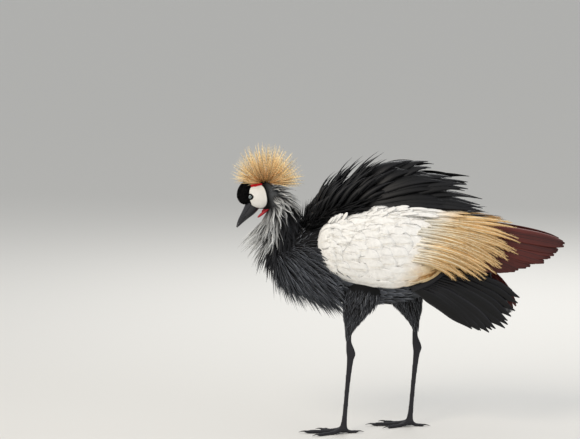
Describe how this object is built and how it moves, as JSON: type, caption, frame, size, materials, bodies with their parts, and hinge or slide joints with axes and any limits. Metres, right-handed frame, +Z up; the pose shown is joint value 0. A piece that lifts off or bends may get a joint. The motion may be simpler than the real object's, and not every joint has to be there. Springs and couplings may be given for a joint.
{
  "type": "bird",
  "caption": "Life-size standing crane with a bristle crown, lowered bill, lifted back plumes and folded wings.",
  "frame": {"origin": "on the floor under the middle of the bird's length and width, level with the soles", "axes": "+X towards the tail (the bill points along -X), +Y to the bird's right, +Z up"},
  "size_m": [0.7564, 0.2208, 0.6686],
  "materials": {
    "bill": "dark slate horn, paler at the base of the ridge, satin",
    "claw": "blackish horn",
    "crest_straw": "stiff straw-gold bristles with dark tips",
    "eye": "pale grey-blue iris, dark pupil, wet gloss",
    "leg_scale": "blackish scaled leg skin",
    "head_skin": "velvety black cap, white bare cheek, red patch above it",
    "plume_black": "long black back plumes with a soft sheen",
    "hackle_dark": "black to charcoal narrow hackles, matte",
    "hackle_grey": "pale grey narrow hackles over dark down, matte",
    "flight_black": "black flight feathers, satin",
    "flight_chestnut": "deep chestnut flight feathers, satin",
    "body_plumage": "slate-grey to black body feathers, matte",
    "wattle_skin": "bare red throat skin, satin",
    "covert_white": "white wing coverts, matte"
  },
  "bodies": {
    "root": {"bill_lower": "bill", "bill_upper": "bill", "claw_hind_l": "claw", "claw_hind_r": "claw", "claw_inner_l": "claw", "claw_inner_r": "claw", "claw_middle_l": "claw", "claw_middle_r": "claw", "claw_outer_l": "claw", "claw_outer_r": "claw", "crest": "crest_straw", "eye_l": "eye", "eye_r": "eye", "foot_l": "leg_scale", "foot_r": "leg_scale", "head": "head_skin", "mantle": "plume_black", "neck_lower": "hackle_dark", "neck_upper": "hackle_grey", "primaries_l": "flight_black", "primaries_r": "flight_black", "secondaries_l": "flight_chestnut", "secondaries_r": "flight_chestnut", "shank_l": "leg_scale", "shank_r": "leg_scale", "tail": "flight_black", "thigh_l": "body_plumage", "thigh_r": "body_plumage", "torso": "body_plumage", "wattle": "wattle_skin", "wing_l": "covert_white", "wing_r": "covert_white"}
  },
  "joints": []
}
